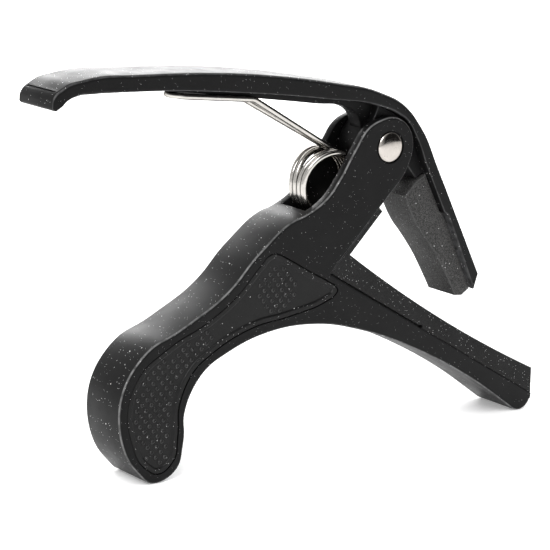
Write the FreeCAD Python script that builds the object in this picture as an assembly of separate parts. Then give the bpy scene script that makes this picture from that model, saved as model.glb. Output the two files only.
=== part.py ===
import FreeCAD, Part
import math
import os

# Trigger-style guitar capo, stored closed and standing on its grip lobe and its bar end.
# Frame: X along the length (grip end at -X, string bar end at +X), Y across the
# thickness with the domed rivet head on the -Y side, Z up from the resting surface.
# Profiles are drawn in the XZ plane, in millimetres, and shifted so that the
# middle of the overall length is X = 0.

# ---- driving dimensions (mm) -------------------------------------------------
CENTRE_X = 1.9            # profile X of the middle of the overall length
BODY_WIDTH = 11.2         # thickness of the moulded body and of the lever, along Y
POCKET_WIDTH = 7.4        # gap between the two clevis ears
LUG_WIDTH = 6.8           # lever boss that turns between the ears
WEB_WIDTH = 3.4           # stiffening rib under the lever
EDGE_ROUND = 0.45         # moulded edge radius of the body
LEVER_ROUND = 0.5         # softer edge radius along the lever's top

PIVOT = (19.4, 56.4)      # rivet axis
EAR_RADIUS = 5.65
SHANK_RADIUS = 1.60
BORE_RADIUS = 1.65        # running fit on the rivet shank
HEAD_RADIUS = 2.85
HEAD_HEIGHT = 0.95
SEAT_RADIUS = 3.15        # shallow counterbore round the rivet head
SEAT_DEPTH = 0.3
WASHER_THICK = 0.4
TAIL_RADIUS = 2.4
TAIL_HEIGHT = 0.55

COIL = (8.3, 49.85)       # torsion spring axis
COIL_RADIUS = 6.1         # mean radius of a turn
WIRE = 1.15               # wire diameter
TURN_PITCH = 1.17         # advance along Y in one turn
INNER_TURN_Y = 0.62       # distance of the innermost turns from the middle plane
OUTER_TURN_Y = INNER_TURN_Y + 2 * TURN_PITCH
RAMP_START = 80.0         # a turn shifts inward between these two angles
RAMP_END = 180.0
TAIL_ANGLE = -55.0        # where the lower tails leave the turns, degrees from +X
TAIL_LENGTH = 12.5
LEG_ROOT = 4.3            # length of upper leg that stays with the coil
LEG_GAP = 0.2             # working gap between the coil's stub and the turning loop
ARM_BEND = (-9.9, 67.3)   # where the upper legs bend to lie along the lever
ARM_END = (-26.4, 69.1)   # closed end of the upper loop
LOOP_Y = 2.42             # the loop straddles the lever's rib
BEND_RADIUS = 1.5
# direction from the coil axis at which the upper legs leave the turns, degrees from +X
LEG_ANGLE = math.degrees(
    math.atan2(ARM_BEND[1] - COIL[1], ARM_BEND[0] - COIL[0])
    - math.acos(COIL_RADIUS / math.hypot(ARM_BEND[0] - COIL[0], ARM_BEND[1] - COIL[1]))
)

BAR_END_X = 57.4
BAR_TIP_RADIUS = 3.0
THROAT_FOOT = (6.0, 33.7)   # inner corner between the bar's top and the throat
THROAT_TOP = (19.6, 47.3)   # top of the 45 degree throat face
PAD_WIDTH = 11.0
PAD_CORNER = (10.7, 36.9)   # on the strip's face, parallel to the throat
PAD_END_Z = 8.3
PAD_HOLLOW = 1.2            # depth of the string pad's concave face
LIP_THICK = 1.06            # rubber strip up the throat

LEVER_TIP = (-53.5, 69.6)   # foremost point of the handle
JAW_START = (31.9, 50.1)    # outer face of the lever's jaw
JAW_LENGTH = 23.1
JAW_CHAMFER = 2.0
JAW_SLOPE = -63.3           # direction of the jaw, degrees from +X
JAW_THICK = 1.65            # under the pad
JAW_RIM = 2.25              # beside the top of the pad
NECK_PAD_WIDTH = 8.2

PANEL_DEPTH = 0.8           # recess for the grip inlays
PANEL_THICK = 0.7
PANEL_GAP = 0.12            # moulding gap round an inlay
FIELD_INSET = 1.1           # width of an inlay's plain border
FIELD_DEPTH = 0.2           # the dotted field lies this far below the border
DOT_PITCH = 1.953           # spacing of dots in a row; rows are half of this apart
DOT_RADIUS = 0.42
DOT_HEIGHT = 0.3
DOT_CLEARANCE = 0.04      # least space between a dot and the border
DOT_TILT = -5.5             # turn of the dot grid, degrees
LOBE_DOTS_X = -19.5         # the lobe's dots stop here

os.makedirs("parts", exist_ok=True)


# ---- helpers -------------------------------------------------------------------
def at(point, y=0.0):
    """Profile point (x, z) as a vector at depth y."""
    return FreeCAD.Vector(point[0] - CENTRE_X, y, point[1])


def polar(centre, radius, degrees):
    """Profile point on a circle."""
    angle = math.radians(degrees)
    return (centre[0] + radius * math.cos(angle), centre[1] + radius * math.sin(angle))


def line(*points):
    """Straight edges through profile points."""
    vectors = [at(p) for p in points]
    return [Part.LineSegment(a, b).toShape() for a, b in zip(vectors, vectors[1:])]


def arc(start, middle, end):
    return [Part.Arc(at(start), at(middle), at(end)).toShape()]


def arc_about(centre, radius, start, end):
    """Arc between two angles, counter-clockwise seen from -Y when end > start."""
    return arc(*(polar(centre, radius, a) for a in (start, (start + end) / 2, end)))


def unit(dx, dz):
    length = math.hypot(dx, dz)
    return (dx / length, dz / length)


def tangent_arc(start, heading, end):
    """Arc, or straight edge, that leaves start along heading and reaches end."""
    chord = (end[0] - start[0], end[1] - start[1])
    length = math.hypot(*chord)
    along = unit(*chord)
    turn = math.atan2(
        heading[0] * along[1] - heading[1] * along[0],
        heading[0] * along[0] + heading[1] * along[1],
    )
    bulge = math.tan(turn / 2) * length / 2
    if abs(bulge) < 1e-4:
        return line(start, end)
    middle = (
        (start[0] + end[0]) / 2 + along[1] * bulge,
        (start[1] + end[1]) / 2 - along[0] * bulge,
    )
    return arc(start, middle, end)


def biarc(start, leave, end, arrive):
    """Two arcs that join smoothly between two points with given directions."""
    gap = (end[0] - start[0], end[1] - start[1])
    both = (leave[0] + arrive[0], leave[1] + arrive[1])
    across = gap[0] * both[0] + gap[1] * both[1]
    square = gap[0] ** 2 + gap[1] ** 2
    spread = 2 * (1 - leave[0] * arrive[0] - leave[1] * arrive[1])
    if spread < 1e-9:
        reach = square / (2 * across)
    else:
        reach = (math.sqrt(across ** 2 + spread * square) - across) / spread
    joint = (
        (start[0] + end[0] + reach * (leave[0] - arrive[0])) / 2,
        (start[1] + end[1] + reach * (leave[1] - arrive[1])) / 2,
    )
    turned = (start[0] + reach * leave[0], start[1] + reach * leave[1])
    middle_heading = unit(joint[0] - turned[0], joint[1] - turned[1])
    return tangent_arc(start, leave, joint) + tangent_arc(joint, middle_heading, end)


def smooth(*points, leave=None, arrive=None, closed=False):
    """Smooth chain of arcs through profile points; leave and arrive fix the end directions."""
    count = len(points)
    steps = [(b[0] - a[0], b[1] - a[1]) for a, b in zip(points, points[1:])]
    headings = []
    for i in range(count):
        before = steps[i - 1] if i > 0 else steps[-1]
        after = steps[i] if i < count - 1 else steps[0]
        ratio = math.hypot(*after) / math.hypot(*before)
        headings.append(unit(before[0] * ratio + after[0] / ratio, before[1] * ratio + after[1] / ratio))
    if not closed:
        headings[0] = unit(*leave) if leave else mirrored(headings[1], steps[0])
        headings[-1] = unit(*arrive) if arrive else mirrored(headings[-2], steps[-1])
    edges = []
    for i in range(count - 1):
        edges += biarc(points[i], headings[i], points[i + 1], headings[i + 1])
    return edges


def mirrored(heading, step):
    """Direction at the other end of an arc that has this heading at one end."""
    along = unit(*step)
    dot = 2 * (heading[0] * along[0] + heading[1] * along[1])
    return (dot * along[0] - heading[0], dot * along[1] - heading[1])


def face_of(edges):
    return Part.Face(Part.Wire(Part.__sortEdges__(edges)))


def slab(edges, width, middle=0.0):
    """Prism of a closed profile, its width centred on y = middle."""
    face = face_of(edges)
    face.translate(FreeCAD.Vector(0, middle - width / 2, 0))
    return face.extrude(FreeCAD.Vector(0, width, 0))


def rod(centre, radius, y_from, y_to):
    """Cylinder along Y."""
    return Part.makeCylinder(
        radius, y_to - y_from, at(centre, y_from), FreeCAD.Vector(0, 1, 0)
    )


def side_edges(solid, width, keep):
    """Edges on the two side faces whose middle point passes the test keep(x, z)."""
    chosen = []
    for edge in solid.Edges:
        low, high = edge.BoundBox.YMin, edge.BoundBox.YMax
        if high - low > 0.01 or abs(abs(low) - width / 2) > 0.01:
            continue
        middle = edge.valueAt((edge.FirstParameter + edge.LastParameter) / 2)
        if keep(middle.x + CENTRE_X, middle.z):
            chosen.append(edge)
    return chosen


def jaw(along, inward):
    """Profile point measured along the jaw's outer face and square to it, inward."""
    tangent = math.radians(JAW_SLOPE)
    dx, dz = math.cos(tangent), math.sin(tangent)
    return (
        JAW_START[0] + along * dx + inward * dz,
        JAW_START[1] + along * dz - inward * dx,
    )


def save(name, shape):
    shape = shape.removeSplitter()
    solid = shape.Solids[0] if len(shape.Solids) == 1 else shape
    solid.exportStep("parts/%s.step" % name)
    box = solid.BoundBox
    print(
        "%-18s solids %d valid %s volume %8.1f  x %.2f..%.2f y %.2f..%.2f z %.2f..%.2f"
        % (
            name, len(shape.Solids), solid.isValid(), solid.Volume,
            box.XMin, box.XMax, box.YMin, box.YMax, box.ZMin, box.ZMax,
        )
    )


# ---- main body: grip, clevis ears, spring pocket and string bar ----------------------
def body_outline():
    bar_tip = (BAR_END_X - BAR_TIP_RADIUS, BAR_TIP_RADIUS)
    under_end = polar(bar_tip, BAR_TIP_RADIUS, -126)
    ear_top = polar(PIVOT, EAR_RADIUS, 100)
    ear_front = polar(PIVOT, EAR_RADIUS, 0)
    edges = arc_about(PIVOT, EAR_RADIUS, 0, 100)
    edges += smooth(
        ear_top, (14.7, 60.7), (11.0, 56.2), (8.2, 51.9), (4.9, 48.1), (0.6, 45.7), (-3.0, 44.6),
        leave=(-1, -0.18), arrive=(-1, -0.42),
    )
    edges += smooth(
        (-3.0, 44.6), (-9.8, 39.9), (-17.3, 33.0), (-26.7, 27.9), (-34.6, 24.3), (-39.3, 18.0),
        (-39.9, 10.6), (-36.8, 3.4), (-32.2, 0.0),
        leave=(-1, -0.42), arrive=(1, 0),
    )
    edges += smooth(
        (-32.2, 0.0), (-27.9, 1.7), (-26.2, 7.0), (-26.0, 12.3), (-22.6, 18.5), (-15.0, 22.7),
        (-5.6, 24.8), (4.5, 24.4), (15.5, 21.4), (28.0, 16.0), (40.4, 9.1), under_end,
        leave=(1, 0), arrive=(1, -0.727),
    )
    edges += arc_about(bar_tip, BAR_TIP_RADIUS, -126, 0)
    edges += line((BAR_END_X, BAR_TIP_RADIUS), THROAT_FOOT, THROAT_TOP)
    edges += smooth(THROAT_TOP, (23.2, 51.1), ear_front, leave=(1, 1), arrive=(0, 1))
    return edges


def pocket_outline():
    """Open space between the ears: coil well, lug clearance and everything above them."""
    front_edge = (1.85, 45.5)
    well_end = polar(COIL, 7.5, -40)
    lug_start = polar(PIVOT, 6.3, -100)
    edges = arc(front_edge, polar(COIL, 7.5, 268), well_end)
    edges += line(well_end, lug_start)
    edges += arc_about(PIVOT, 6.3, -100, -20)
    edges += line(polar(PIVOT, 6.3, -20), (36, 54), (36, 70), (-8, 70), (-8, 52), front_edge)
    return edges


def tail_slot(y):
    """Blind slot in the pocket floor that holds one of the spring's lower tails."""
    length = TAIL_LENGTH + 1.0
    side = WIRE + 0.3
    slot = Part.makeBox(length, side, side, FreeCAD.Vector(0, y - side / 2, -side / 2))
    start = polar(COIL, COIL_RADIUS, TAIL_ANGLE)
    slot.rotate(FreeCAD.Vector(0, 0, 0), FreeCAD.Vector(0, 1, 0), 90 - TAIL_ANGLE)
    slot.translate(at(start))
    return slot


def panel_outline():
    """Outline of a grip inlay's recess on the side of the body."""
    edges = smooth(
        (-5.6, 38.95), (-4.0, 38.1), (1.1, 35.1), (5.9, 32.4), (7.5, 31.35), (7.9, 30.4), (7.2, 29.5),
        (5.2, 28.6), (-3.0, 26.9), (-11.6, 25.8), (-19.2, 22.9), (-24.6, 19.1), (-27.2, 13.8),
        (-27.5, 8.2), (-28.4, 3.6), (-31.6, 1.6), (-34.9, 3.4), (-37.7, 9.0), (-38.3, 14.8),
        (-35.9, 20.4), (-29.1, 25.1), (-21.5, 28.3), (-15.4, 32.1), (-9.9, 37.4), (-8.2, 38.95),
        (-6.9, 39.3), (-5.6, 38.95), closed=True,
    )
    return edges


def build_body():
    half = BODY_WIDTH / 2
    solid = slab(body_outline(), BODY_WIDTH)
    solid = solid.makeFillet(EDGE_ROUND, side_edges(solid, BODY_WIDTH, lambda x, z: True))
    solid = solid.cut(slab(pocket_outline(), POCKET_WIDTH))
    for tail_y in (-OUTER_TURN_Y, OUTER_TURN_Y):
        solid = solid.cut(tail_slot(tail_y))
    solid = solid.cut(rod(PIVOT, SHANK_RADIUS, -BODY_WIDTH, BODY_WIDTH))
    for side in (-1, 1):
        outer = side * (half + 1)
        floor = side * (half - SEAT_DEPTH)
        solid = solid.cut(rod(PIVOT, SEAT_RADIUS, min(outer, floor), max(outer, floor)))
        solid = solid.cut(slab(panel_outline(), 2 * PANEL_DEPTH, side * half))
    return solid


# ---- grip inlays ------------------------------------------------------------------
def offset_face(distance):
    face = face_of(panel_outline())
    return face.makeOffset2D(-distance)


def dot_points(field):
    """Staggered dots: a full patch on the lobe and an eight-sided cluster above it."""
    tilt = math.radians(DOT_TILT)
    points = []

    def place(origin, column, row):
        u = (column + 0.5 * (row % 2)) * DOT_PITCH
        w = row * DOT_PITCH / 2
        x = origin[0] + u * math.cos(tilt) - w * math.sin(tilt)
        z = origin[1] + u * math.sin(tilt) + w * math.cos(tilt)
        return (x, z)

    lobe = (-33.92, 17.76)
    for row in range(-20, 14):
        for column in range(-8, 14):
            point = place(lobe, column, row)
            if point[0] < LOBE_DOTS_X and field.isInside(at(point), 0.01, True):
                points.append(point)
    upper = (-5.93, 32.25)
    for row, count in enumerate((2, 3, 4, 5, 4, 5, 4, 3, 2)):
        for column in range(count):
            u = (column - (count - 1) / 2) * DOT_PITCH
            w = (row - 4) * DOT_PITCH / 2
            x = upper[0] + u * math.cos(tilt) - w * math.sin(tilt)
            z = upper[1] + u * math.sin(tilt) + w * math.cos(tilt)
            points.append((x, z))
    return points


def build_inlay(side):
    """Inlay on the side -1 (front) or +1 (back), dots outward."""
    half = BODY_WIDTH / 2
    floor = side * (half - PANEL_DEPTH)
    outward = FreeCAD.Vector(0, side, 0)
    plate = offset_face(PANEL_GAP)
    plate.translate(FreeCAD.Vector(0, floor, 0))
    solid = plate.extrude(outward * PANEL_THICK)
    field = offset_face(FIELD_INSET)
    sunk = field.copy()
    sunk.translate(FreeCAD.Vector(0, floor + side * (PANEL_THICK - FIELD_DEPTH), 0))
    solid = solid.cut(sunk.extrude(outward))
    base = floor + side * (PANEL_THICK - FIELD_DEPTH - 0.1)
    margin = offset_face(FIELD_INSET + DOT_RADIUS + DOT_CLEARANCE)
    dots = []
    for point in dot_points(margin):
        dots.append(
            Part.makeCone(DOT_RADIUS, DOT_RADIUS * 0.6, DOT_HEIGHT + 0.1, at(point, base), outward)
        )
    return solid.fuse(dots)


# ---- string pad -------------------------------------------------------------------
def build_string_pad():
    top_end = (BAR_END_X, PAD_END_Z)
    chord = (top_end[0] - PAD_CORNER[0], top_end[1] - PAD_CORNER[1])
    length = math.hypot(*chord)
    hollow = (
        PAD_CORNER[0] + chord[0] / 2 + PAD_HOLLOW * chord[1] / length,
        PAD_CORNER[1] + chord[1] / 2 - PAD_HOLLOW * chord[0] / length,
    )
    step = LIP_THICK / math.sqrt(2)
    lip_inner = (17.4, 45.1)     # the strip ends here on the throat line
    lip_outer = (lip_inner[0] + step, lip_inner[1] - step)
    edges = line(THROAT_FOOT, lip_inner, lip_outer, PAD_CORNER)
    edges += arc(PAD_CORNER, hollow, top_end)
    edges += line(top_end, (BAR_END_X, BAR_TIP_RADIUS), THROAT_FOOT)
    solid = slab(edges, PAD_WIDTH)
    rebate = line((6.0, 33.0), (28.0, 20.56), (28.0, 21.2), (6.9, 33.8), (6.0, 33.0))
    for side in (-1, 1):
        solid = solid.cut(slab(rebate, 0.9, side * PAD_WIDTH / 2))
    return solid


# ---- lever: handle, boss and jaw -------------------------------------------------------


def lever_back():
    """The lever's upper and outer curve, from the tip to the end of the jaw."""
    edges = smooth(
        LEVER_TIP, (-53.3, 71.0), (-50.8, 73.0), (-46.5, 73.95), (-34.3, 73.9), (-10.6, 72.2),
        (5.0, 69.7), (16.4, 67.1), (22.7, 64.1), (27.3, 59.0), JAW_START,
        leave=(0.05, 1), arrive=(0.449, -0.8935),
    )
    return edges + line(JAW_START, jaw(JAW_LENGTH, 0))


def lever_outline():
    rim_top = jaw(-2.2, JAW_RIM)
    edges = lever_back()
    edges += line(
        jaw(JAW_LENGTH, 0), jaw(JAW_LENGTH + JAW_CHAMFER, JAW_CHAMFER),
        jaw(JAW_LENGTH + JAW_CHAMFER + 0.2, 2.25), jaw(8.3, JAW_THICK), jaw(7.3, JAW_RIM), rim_top,
    )
    edges += smooth(
        rim_top, (25.8, 57.7), (23.6, 60.9), (21.0, 62.6), (15.8, 64.6), (4.0, 66.7),
        (-13.0, 69.05), (-32.4, 70.85), (-38.5, 71.1), (-45.0, 71.25), (-48.4, 71.15), (-50.2, 70.6),
        (-51.8, 69.4), (-52.9, 69.0), LEVER_TIP,
        leave=(-0.449, 0.8935), arrive=(0.05, 1),
    )
    return edges


def web_outline():
    """Narrow rib under the handle that deepens into the boss."""
    boss_low = polar(PIVOT, 5.3, 140)
    edges = line((-31.0, 71.2), (-30.6, 70.4), (-9.6, 67.4))
    edges += smooth(
        (-9.6, 67.4), (4.0, 65.35), (11.8, 64.05), (13.4, 63.3), (14.9, 61.2), boss_low,
        leave=(1, -0.15), arrive=(0.5, -1),
    )
    edges += line(boss_low, PIVOT, jaw(-3.0, 1.0), (23.2, 62.6), (15.0, 66.5), (-31.0, 71.2))
    return edges


def boss_outline():
    """Boss round the rivet, joined to the bend and to the top of the jaw."""
    left_foot = polar(PIVOT, 5.3, 122)
    right_foot = polar(PIVOT, 5.3, -30)
    edges = smooth(left_foot, (17.3, 62.3), (18.0, 64.2), leave=(0.5, 1), arrive=(0.15, 1))
    edges += line((18.0, 64.2), (19.0, 65.2), (23.6, 62.6), (27.0, 58.6), jaw(-2.5, 1.0))
    edges += line(jaw(-2.5, 1.0), jaw(-1.4, JAW_RIM), jaw(-1.4, 4.3), right_foot)
    edges += arc_about(PIVOT, 5.3, -30, -238)
    return edges


def middle_of(edge):
    point = edge.valueAt((edge.FirstParameter + edge.LastParameter) / 2)
    return (point.x + CENTRE_X, point.z)


def build_lever():
    solid = slab(lever_outline(), BODY_WIDTH)
    back = [middle_of(edge) for edge in lever_back()]
    rounded = side_edges(
        solid, BODY_WIDTH,
        lambda x, z: any(math.hypot(x - p[0], z - p[1]) < 0.05 for p in back),
    )
    solid = solid.makeFillet(LEVER_ROUND, rounded)
    solid = solid.fuse([slab(web_outline(), WEB_WIDTH), slab(boss_outline(), LUG_WIDTH)])
    return solid.cut(rod(PIVOT, BORE_RADIUS, -BODY_WIDTH, BODY_WIDTH))


# ---- neck pad ---------------------------------------------------------------------
def build_neck_pad():
    seat_end = jaw(JAW_LENGTH + JAW_CHAMFER + 0.4, 2.3)
    face_top = jaw(0.1, 8.2)
    face_end = jaw(24.7, 5.9)
    edges = line(
        jaw(8.3, JAW_THICK), jaw(7.3, JAW_RIM), jaw(-1.0, JAW_RIM), jaw(-1.0, 4.8), face_top
    )
    edges += smooth(
        face_top, jaw(6.6, 8.25), jaw(11.0, 7.3), jaw(15.5, 6.5), jaw(20.3, 6.1), face_end
    )
    edges += line(
        face_end, jaw(25.7, 4.4), seat_end,
        jaw(JAW_LENGTH + JAW_CHAMFER + 0.2, 2.25), jaw(8.3, JAW_THICK),
    )
    return slab(edges, NECK_PAD_WIDTH)


# ---- rivet ------------------------------------------------------------------------
def build_rivet():
    half = BODY_WIDTH / 2
    head_base = -half + SEAT_DEPTH
    tail_base = half - SEAT_DEPTH + WASHER_THICK
    shank = rod(PIVOT, SHANK_RADIUS, head_base - 0.1, tail_base + 0.1)
    sphere_radius = (HEAD_RADIUS ** 2 + HEAD_HEIGHT ** 2) / (2 * HEAD_HEIGHT)
    dome = Part.makeSphere(sphere_radius, at(PIVOT, head_base - HEAD_HEIGHT + sphere_radius))
    head = dome.common(rod(PIVOT, HEAD_RADIUS + 1, head_base - 2, head_base))
    tail = Part.makeCone(
        TAIL_RADIUS, TAIL_RADIUS - 0.6, TAIL_HEIGHT, at(PIVOT, tail_base), FreeCAD.Vector(0, 1, 0)
    )
    solid = shank.fuse([head, tail])
    return solid.cut(rod(PIVOT, 0.9, tail_base - 2.5, tail_base + 2))


def build_washer():
    half = BODY_WIDTH / 2
    base = half - SEAT_DEPTH
    ring = rod(PIVOT, SEAT_RADIUS - 0.1, base, base + WASHER_THICK)
    return ring.cut(rod(PIVOT, SHANK_RADIUS, base - 1, base + 2))


# ---- torsion spring ------------------------------------------------------------------
# One double torsion spring: two mirrored coils side by side, two lower tails held in
# the body, and a closed loop that presses on the lever. The loop turns about the coil
# axis, so it is stored as its own node; the wire is continuous between the two.


def sweep(edges):
    """Round wire swept along joined edges."""
    path = Part.Wire(edges)
    first = path.Edges[0]
    heading = first.tangentAt(first.FirstParameter)
    ring = Part.Wire(Part.Circle(first.valueAt(first.FirstParameter), heading, WIRE / 2).toShape())
    return path.makePipeShell([ring], True, True)


def leg_point(distance):
    """Profile point on an upper leg, measured from where it leaves the turn."""
    heading = math.radians(LEG_ANGLE + 90)
    start = polar(COIL, COIL_RADIUS, LEG_ANGLE)
    return (start[0] + distance * math.cos(heading), start[1] + distance * math.sin(heading))


def straight(start, end, y):
    """Line between two profile points at one distance from the middle plane."""
    return Part.LineSegment(at(start, y), at(end, y)).toShape()


def turn_arc(start, end, y):
    """Flat part of a turn between two angles."""
    points = [at(polar(COIL, COIL_RADIUS, a), y) for a in (start, (start + end) / 2, end)]
    return Part.Arc(*points).toShape()


def turn_ramp(y):
    """Short helix that moves the wire inward by one pitch."""
    share = (RAMP_END - RAMP_START) / 360
    ramp = Part.makeHelix(TURN_PITCH / share, TURN_PITCH, COIL_RADIUS)
    ramp.rotate(FreeCAD.Vector(0, 0, 0), FreeCAD.Vector(1, 0, 0), 90)
    ramp.rotate(FreeCAD.Vector(0, 0, 0), FreeCAD.Vector(0, 1, 0), -RAMP_START)
    ramp.translate(at(COIL, y))
    return ramp.Edges[0]


def half_coil():
    """Back coil: lower tail, turns that step inward over two ramps, and the leg's root."""
    ring_start = polar(COIL, COIL_RADIUS, TAIL_ANGLE)
    away = math.radians(TAIL_ANGLE - 90)
    tail_end = (
        ring_start[0] + TAIL_LENGTH * math.cos(away),
        ring_start[1] + TAIL_LENGTH * math.sin(away),
    )
    outer = OUTER_TURN_Y
    middle = OUTER_TURN_Y - TURN_PITCH
    path = [straight(tail_end, ring_start, outer)]
    path += [turn_arc(TAIL_ANGLE, RAMP_START, outer), turn_ramp(outer)]
    path += [turn_arc(RAMP_END, RAMP_START + 360, middle), turn_ramp(middle)]
    path += [turn_arc(RAMP_END, LEG_ANGLE + 360, INNER_TURN_Y)]
    path += [straight(leg_point(0), leg_point(LEG_ROOT), INNER_TURN_Y)]
    return sweep(path)


def rounded_corner(before, corner, after, radius):
    """Arc that rounds a corner of a path through three points."""
    into = (corner - before).normalize()
    out = (after - corner).normalize()
    turn = into.getAngle(out)
    reach = radius * math.tan(turn / 2)
    depth = radius / math.cos(turn / 2) - radius
    middle = corner + (out - into).normalize() * depth
    return Part.Arc(corner - into * reach, middle, corner + out * reach).toShape()


def build_arm():
    """Closed loop that lies along the lever, and the two legs that spread toward it."""
    along = unit(ARM_END[0] - ARM_BEND[0], ARM_END[1] - ARM_BEND[1])
    loop_start = (ARM_END[0] - LOOP_Y * along[0], ARM_END[1] - LOOP_Y * along[1])

    def leg(side):
        start = at(leg_point(LEG_ROOT + LEG_GAP), side * INNER_TURN_Y)
        end = at(loop_start, side * LOOP_Y)
        bend = rounded_corner(start, at(ARM_BEND, side * LOOP_Y), end, BEND_RADIUS)
        lower = Part.LineSegment(start, bend.firstVertex().Point).toShape()
        upper = Part.LineSegment(bend.lastVertex().Point, end).toShape()
        return sweep([lower, bend, upper])

    loop = Part.Arc(at(loop_start, -LOOP_Y), at(ARM_END, 0), at(loop_start, LOOP_Y)).toShape()
    return leg(-1).fuse([sweep([loop]), leg(1)])


save("main_body", build_body())
save("grip_panel_front", build_inlay(-1))
save("grip_panel_back", build_inlay(1))
save("string_pad", build_string_pad())
save("lever", build_lever())
save("neck_pad", build_neck_pad())
save("pivot_rivet", build_rivet())
save("rivet_washer", build_washer())
save("spring_coil_front", half_coil().mirror(FreeCAD.Vector(0, 0, 0), FreeCAD.Vector(0, 1, 0)))
save("spring_coil_back", half_coil())
save("spring_arm", build_arm())
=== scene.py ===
import bpy
import bmesh
import math
from mathutils import Matrix, Vector, kdtree


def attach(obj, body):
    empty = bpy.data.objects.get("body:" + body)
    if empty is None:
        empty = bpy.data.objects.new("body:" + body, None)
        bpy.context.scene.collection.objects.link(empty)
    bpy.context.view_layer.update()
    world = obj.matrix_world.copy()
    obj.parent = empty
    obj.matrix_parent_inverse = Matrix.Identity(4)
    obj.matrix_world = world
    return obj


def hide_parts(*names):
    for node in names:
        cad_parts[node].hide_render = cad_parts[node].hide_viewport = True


# Trigger-style guitar capo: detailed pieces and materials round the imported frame.
# Profiles are drawn in the XZ plane in millimetres, as the part's own design is, and
# are shifted by CENTRE_X and scaled to metres when they become meshes.

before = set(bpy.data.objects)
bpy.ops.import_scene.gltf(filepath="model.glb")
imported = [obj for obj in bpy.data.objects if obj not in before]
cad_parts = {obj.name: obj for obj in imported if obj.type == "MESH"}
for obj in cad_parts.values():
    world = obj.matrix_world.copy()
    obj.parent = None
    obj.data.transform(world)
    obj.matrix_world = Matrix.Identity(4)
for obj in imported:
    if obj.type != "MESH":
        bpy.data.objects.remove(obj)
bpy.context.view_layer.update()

# ---- sizes shared with the design (mm) ---------------------------------------------
MM = 0.001
CENTRE_X = 1.9
BODY_HALF = 5.6
POCKET_HALF = 3.7
LUG_HALF = 3.4
WEB_HALF = 1.7
PAD_HALF = 5.5
NECK_PAD_HALF = 4.1
PIVOT = (19.4, 56.4)
EAR_RADIUS = 5.65
BOSS_RADIUS = 5.3
SEAT_RADIUS = 3.15
SEAT_DEPTH = 0.3
BORE_RADIUS = 1.65
SHANK_RADIUS = 1.6
HEAD_RADIUS = 2.85
COIL = (8.3, 49.85)
COIL_RADIUS = 6.1
WIRE_RADIUS = 0.575
TURN_PITCH = 1.17
INNER_TURN_Y = 0.62
TAIL_ANGLE = -55.0
TAIL_LENGTH = 12.5
ARM_BEND = (-9.9, 67.3)
ARM_END = (-26.4, 69.1)
LOOP_Y = 2.42
LEG_ROOT = 4.3
BAR_END_X = 57.4
BAR_TIP_RADIUS = 3.0
THROAT_FOOT = (6.0, 33.7)
THROAT_TOP = (19.6, 47.3)
PAD_CORNER = (10.7, 36.9)
PAD_END_Z = 8.3
PAD_HOLLOW = 1.2
LIP_THICK = 1.06
JAW_START = (31.9, 50.1)
JAW_LENGTH = 23.1
JAW_CHAMFER = 2.0
JAW_SLOPE = -63.3
JAW_RUN, JAW_FALL = 0.449, 0.8935   # the jaw's direction: x gained and z lost along it
JAW_THICK = 1.65
JAW_RIM = 2.25
JAW_SEAT = 8.3               # where the pad's seat starts along the jaw
PANEL_DEPTH = 0.8
PANEL_THICK = 0.7
PANEL_GAP = 0.12
FIELD_INSET = 1.1
FIELD_DEPTH = 0.2
DOT_PITCH = 1.953
DOT_RADIUS = 0.42
DOT_HEIGHT = 0.3
DOT_CLEARANCE = 0.04
DOT_TILT = -5.5
LOBE_DOTS_X = -19.5
LOBE_DOTS_ORIGIN = (-33.92, 17.76)
DIAMOND_CENTRE = (-5.93, 32.25)
DIAMOND_ROWS = (2, 3, 4, 5, 4, 5, 4, 3, 2)
LEVER_TIP = (-53.5, 69.6)
BEND_FROM_COIL = (ARM_BEND[0] - COIL[0], ARM_BEND[1] - COIL[1])
LEG_ANGLE = math.degrees(
    math.atan2(BEND_FROM_COIL[1], BEND_FROM_COIL[0])
    - math.acos(COIL_RADIUS / math.hypot(*BEND_FROM_COIL))
)
OUTER_TURN_Y = INNER_TURN_Y + 2 * TURN_PITCH
RAMP_START = 80
RAMP_END = 180

# ---- sizes of the visual model alone ------------------------------------------------
BODY_EDGE = 0.45
SEAM_EDGE = 0.15             # edge radius along the bar's seat for the string pad
PAD_EDGE = 0.22
NECK_PAD_EDGE = 0.28
POCKET_BEVEL = 0.22
GROOVE_LENGTH = 26.2
GROOVE_HEIGHT = 0.34
GROOVE_FLOOR_Y = 4.6
NOTCH_HEIGHT = 0.62
CREASE = [(-52.8, 72.2), (-52.36, 71.92), (-52.1, 72.1), (-52.3, 72.55)]
CREASE_HALF = 4.6

ARC_STEP = math.radians(4)   # sampling of outline arcs
LONGEST = 1.6                # longest straight sample on an outline, mm
WELD = 0.004 * MM            # mesh corners closer than this are one corner


# ---- plane geometry -----------------------------------------------------------------
def polar(centre, radius, degrees):
    angle = math.radians(degrees)
    return (centre[0] + radius * math.cos(angle), centre[1] + radius * math.sin(angle))


def unit(dx, dz):
    length = math.hypot(dx, dz)
    return (dx / length, dz / length)


def jaw(along, inward):
    """Profile point measured along the jaw's outer face and square to it, inward."""
    tangent = math.radians(JAW_SLOPE)
    dx, dz = math.cos(tangent), math.sin(tangent)
    return (
        JAW_START[0] + along * dx + inward * dz,
        JAW_START[1] + along * dz - inward * dx,
    )


def on_jaw(x, z):
    """Distances of a profile point along the jaw's outer face and inward from it."""
    dx, dz = x - JAW_START[0], z - JAW_START[1]
    return dx * JAW_RUN - dz * JAW_FALL, -dx * JAW_FALL - dz * JAW_RUN


def line(*points):
    """Samples along straight runs, without the last point."""
    samples = []
    for a, b in zip(points, points[1:]):
        dx, dz = b[0] - a[0], b[1] - a[1]
        count = max(1, math.ceil(math.hypot(dx, dz) / LONGEST))
        samples += [(a[0] + dx * i / count, a[1] + dz * i / count) for i in range(count)]
    return samples


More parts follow.
